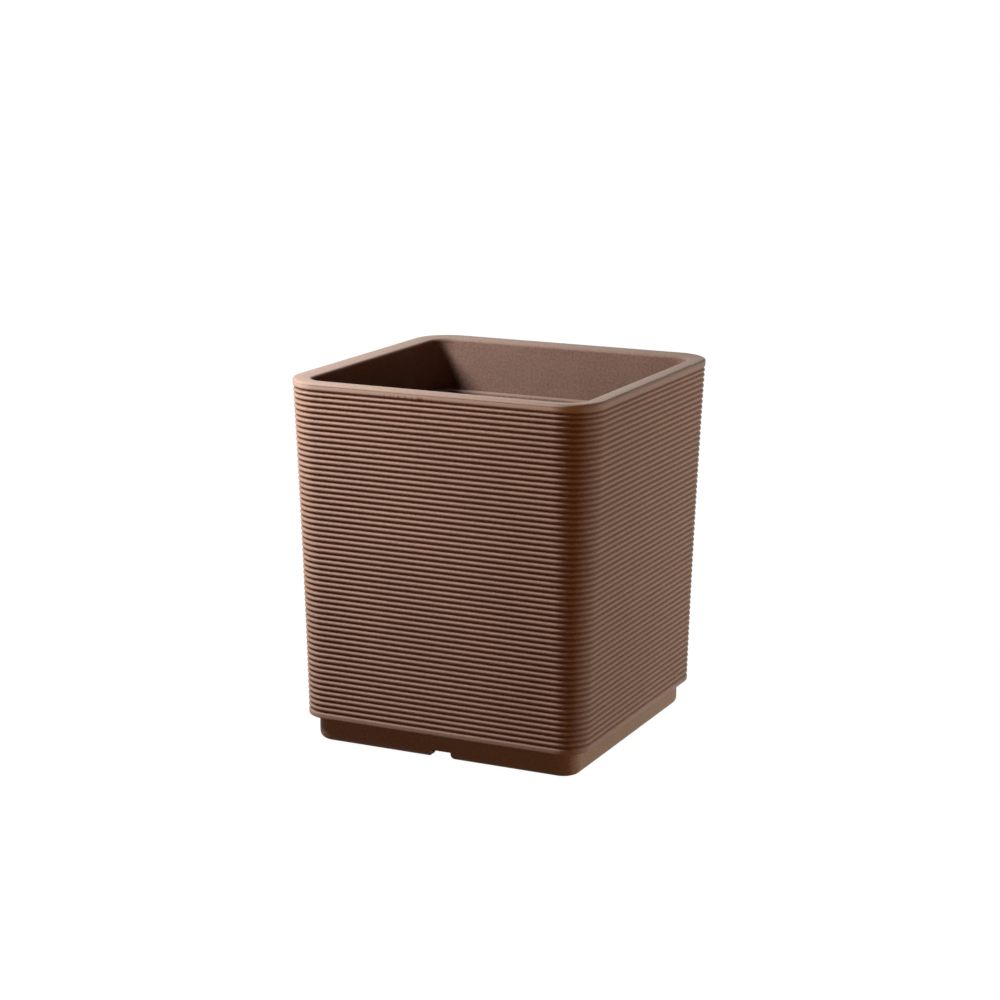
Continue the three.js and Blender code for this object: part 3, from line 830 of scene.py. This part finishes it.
# Object, body, CAD node, slot and material of each piece
pieces = [
    (make_shell(), "planter", "ribbed_shell", "shell",
     moulded_plastic("shell_brown", SHELL_BROWN, roughness=0.5, grain=0.05 * MM,
                     specular=0.02, painted_light_and_scuffs=reed_highlight_shade_scuffs)),
    (make_rim(), "planter", "rim_collar", "rim",
     moulded_plastic("rim_brown", SHADED_INSIDE_TONE, roughness=0.4, grain=0.03 * MM,
                     specular=0.02, painted_light_and_scuffs=lit_top_and_face)),
    (make_foot(), "planter", "base_plinth", "foot",
     moulded_plastic("foot_brown", FOOT_BROWN, roughness=0.5, grain=0.03 * MM, specular=0.05)),
    (make_liner(), "liner", "liner_pot", "liner",
     moulded_plastic("liner_brown", SHADED_INSIDE_TONE, roughness=0.55, grain=0.04 * MM,
                     specular=0.03, painted_light_and_scuffs=lit_top_and_face)),
    (make_grate(), "grate", "soil_grate", "grate",
     moulded_plastic("grate_brown", DARK_BROWN, roughness=0.55, grain=0.04 * MM)),
    (make_plug(), "plug", "drain_plug", "plug",
     moulded_plastic("plug_black", BLACK, roughness=0.45, grain=0.02 * MM)),
    (make_seal(), "plug", "plug_seal", "seal",
     moulded_plastic("seal_rubber", BLACK, roughness=0.65, grain=0.02 * MM, specular=0.35)),
]
for piece, body, node, slot, material in pieces:
    smooth(piece)
    piece.data.materials.clear()
    piece.data.materials.append(material)
    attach(piece, body)
    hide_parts(node)


# Floor, backdrop, lamps and camera

def seen_rays(tree):
    """One for rays that show the surroundings, straight or mirrored, zero for those that light."""
    rays = tree.nodes.new("ShaderNodeLightPath").outputs
    seen = math_node(tree, "MAXIMUM", rays["Is Camera Ray"], rays["Is Glossy Ray"])
    return math_node(tree, "MAXIMUM", seen, rays["Is Transmission Ray"])


def make_floor():
    """Pale floor: it glows where it is seen, keeps a faint shadow and bounces little light."""
    half = FLOOR_SIZE / 2
    corners = [(-half, -half, 0), (half, -half, 0), (half, half, 0), (-half, half, 0)]
    floor = mesh_object("floor", corners, [(0, 1, 2, 3)])
    material = bpy.data.materials.new("floor_white")
    material.use_nodes = True
    tree = material.node_tree
    shader = tree.nodes["Principled BSDF"]
    shader.inputs["Base Color"].default_value = (*FLOOR_COLOUR, 1)
    shader.inputs["Roughness"].default_value = FLOOR_ROUGHNESS
    shader.inputs["Specular IOR Level"].default_value = FLOOR_SPECULAR
    shader.inputs["Emission Color"].default_value = (*WHITE, 1)
    glow = math_node(tree, "MULTIPLY", seen_rays(tree), FLOOR_GLOW)
    tree.links.new(glow, shader.inputs["Emission Strength"])
    floor.data.materials.append(material)


def make_world():
    """White where it is seen. As light it is a dim, warm glow low around the horizon."""
    world = bpy.data.worlds.new("studio")
    world.use_nodes = True
    bpy.context.scene.world = world
    tree = world.node_tree
    direction = tree.nodes.new("ShaderNodeTexCoord").outputs["Generated"]
    height = math_node(tree, "ABSOLUTE", split_node(tree, direction)["Z"])
    room = mix_colour(tree, remap(tree, height, 0.0, ROOM_LIGHT_TOP), ROOM_LIGHT, NO_LIGHT)
    colour = mix_colour(tree, seen_rays(tree), room, WHITE)
    tree.links.new(colour, tree.nodes["Background"].inputs["Color"])


def heading(azimuth, elevation):
    """Direction to a place around the planter. Azimuth 0 is its front, a quarter turn its right."""
    level = math.cos(elevation)
    return Vector((math.sin(azimuth) * level, -math.cos(azimuth) * level, math.sin(elevation)))


def area_lamp(name, azimuth, elevation, distance, size, power, colour=WHITE):
    """Square soft box that looks at the planter's middle, its angles in degrees."""
    lamp = bpy.data.lights.new(name, "AREA")
    lamp.shape = "SQUARE"
    lamp.size = size
    lamp.energy = power
    lamp.color = colour
    made = bpy.data.objects.new(name, lamp)
    towards = heading(math.radians(azimuth), math.radians(elevation))
    made.location = planter_middle + towards * distance
    made.rotation_euler = towards.to_track_quat("Z", "Y").to_euler()
    bpy.context.scene.collection.objects.link(made)


def make_camera():
    """Camera of the photograph: its heading, its roll, and the planter's place in the picture."""
    camera = bpy.data.cameras.new("camera")
    camera.sensor_width = CAMERA_SENSOR_MM
    camera.lens = CAMERA_LENS_MM
    made = bpy.data.objects.new("camera", camera)
    bpy.context.scene.collection.objects.link(made)
    bpy.context.scene.camera = made
    back = heading(CAMERA_AZIMUTH, CAMERA_ELEVATION)
    level_right = Vector((math.cos(CAMERA_AZIMUTH), math.sin(CAMERA_AZIMUTH), 0))
    level_up = back.cross(level_right)
    right = math.cos(CAMERA_ROLL) * level_right + math.sin(CAMERA_ROLL) * level_up
    up = back.cross(right)
    place = planter_middle + back * CAMERA_DISTANCE - right * CAMERA_RIGHT - up * CAMERA_UP
    made.matrix_world = Matrix((
        (right.x, up.x, back.x, place.x),
        (right.y, up.y, back.y, place.y),
        (right.z, up.z, back.z, place.z),
        (0, 0, 0, 1),
    ))


make_floor()
make_world()
make_camera()
area_lamp("key", azimuth=305, elevation=46, distance=1.25, size=0.34, power=27.3)
area_lamp("side", azimuth=120, elevation=1, distance=1.65, size=0.28, power=13.8, colour=COOL)
area_lamp("glow", azimuth=79, elevation=1, distance=2.2, size=0.4, power=5.4, colour=AMBER)
bpy.context.scene.view_settings.view_transform = "Standard"
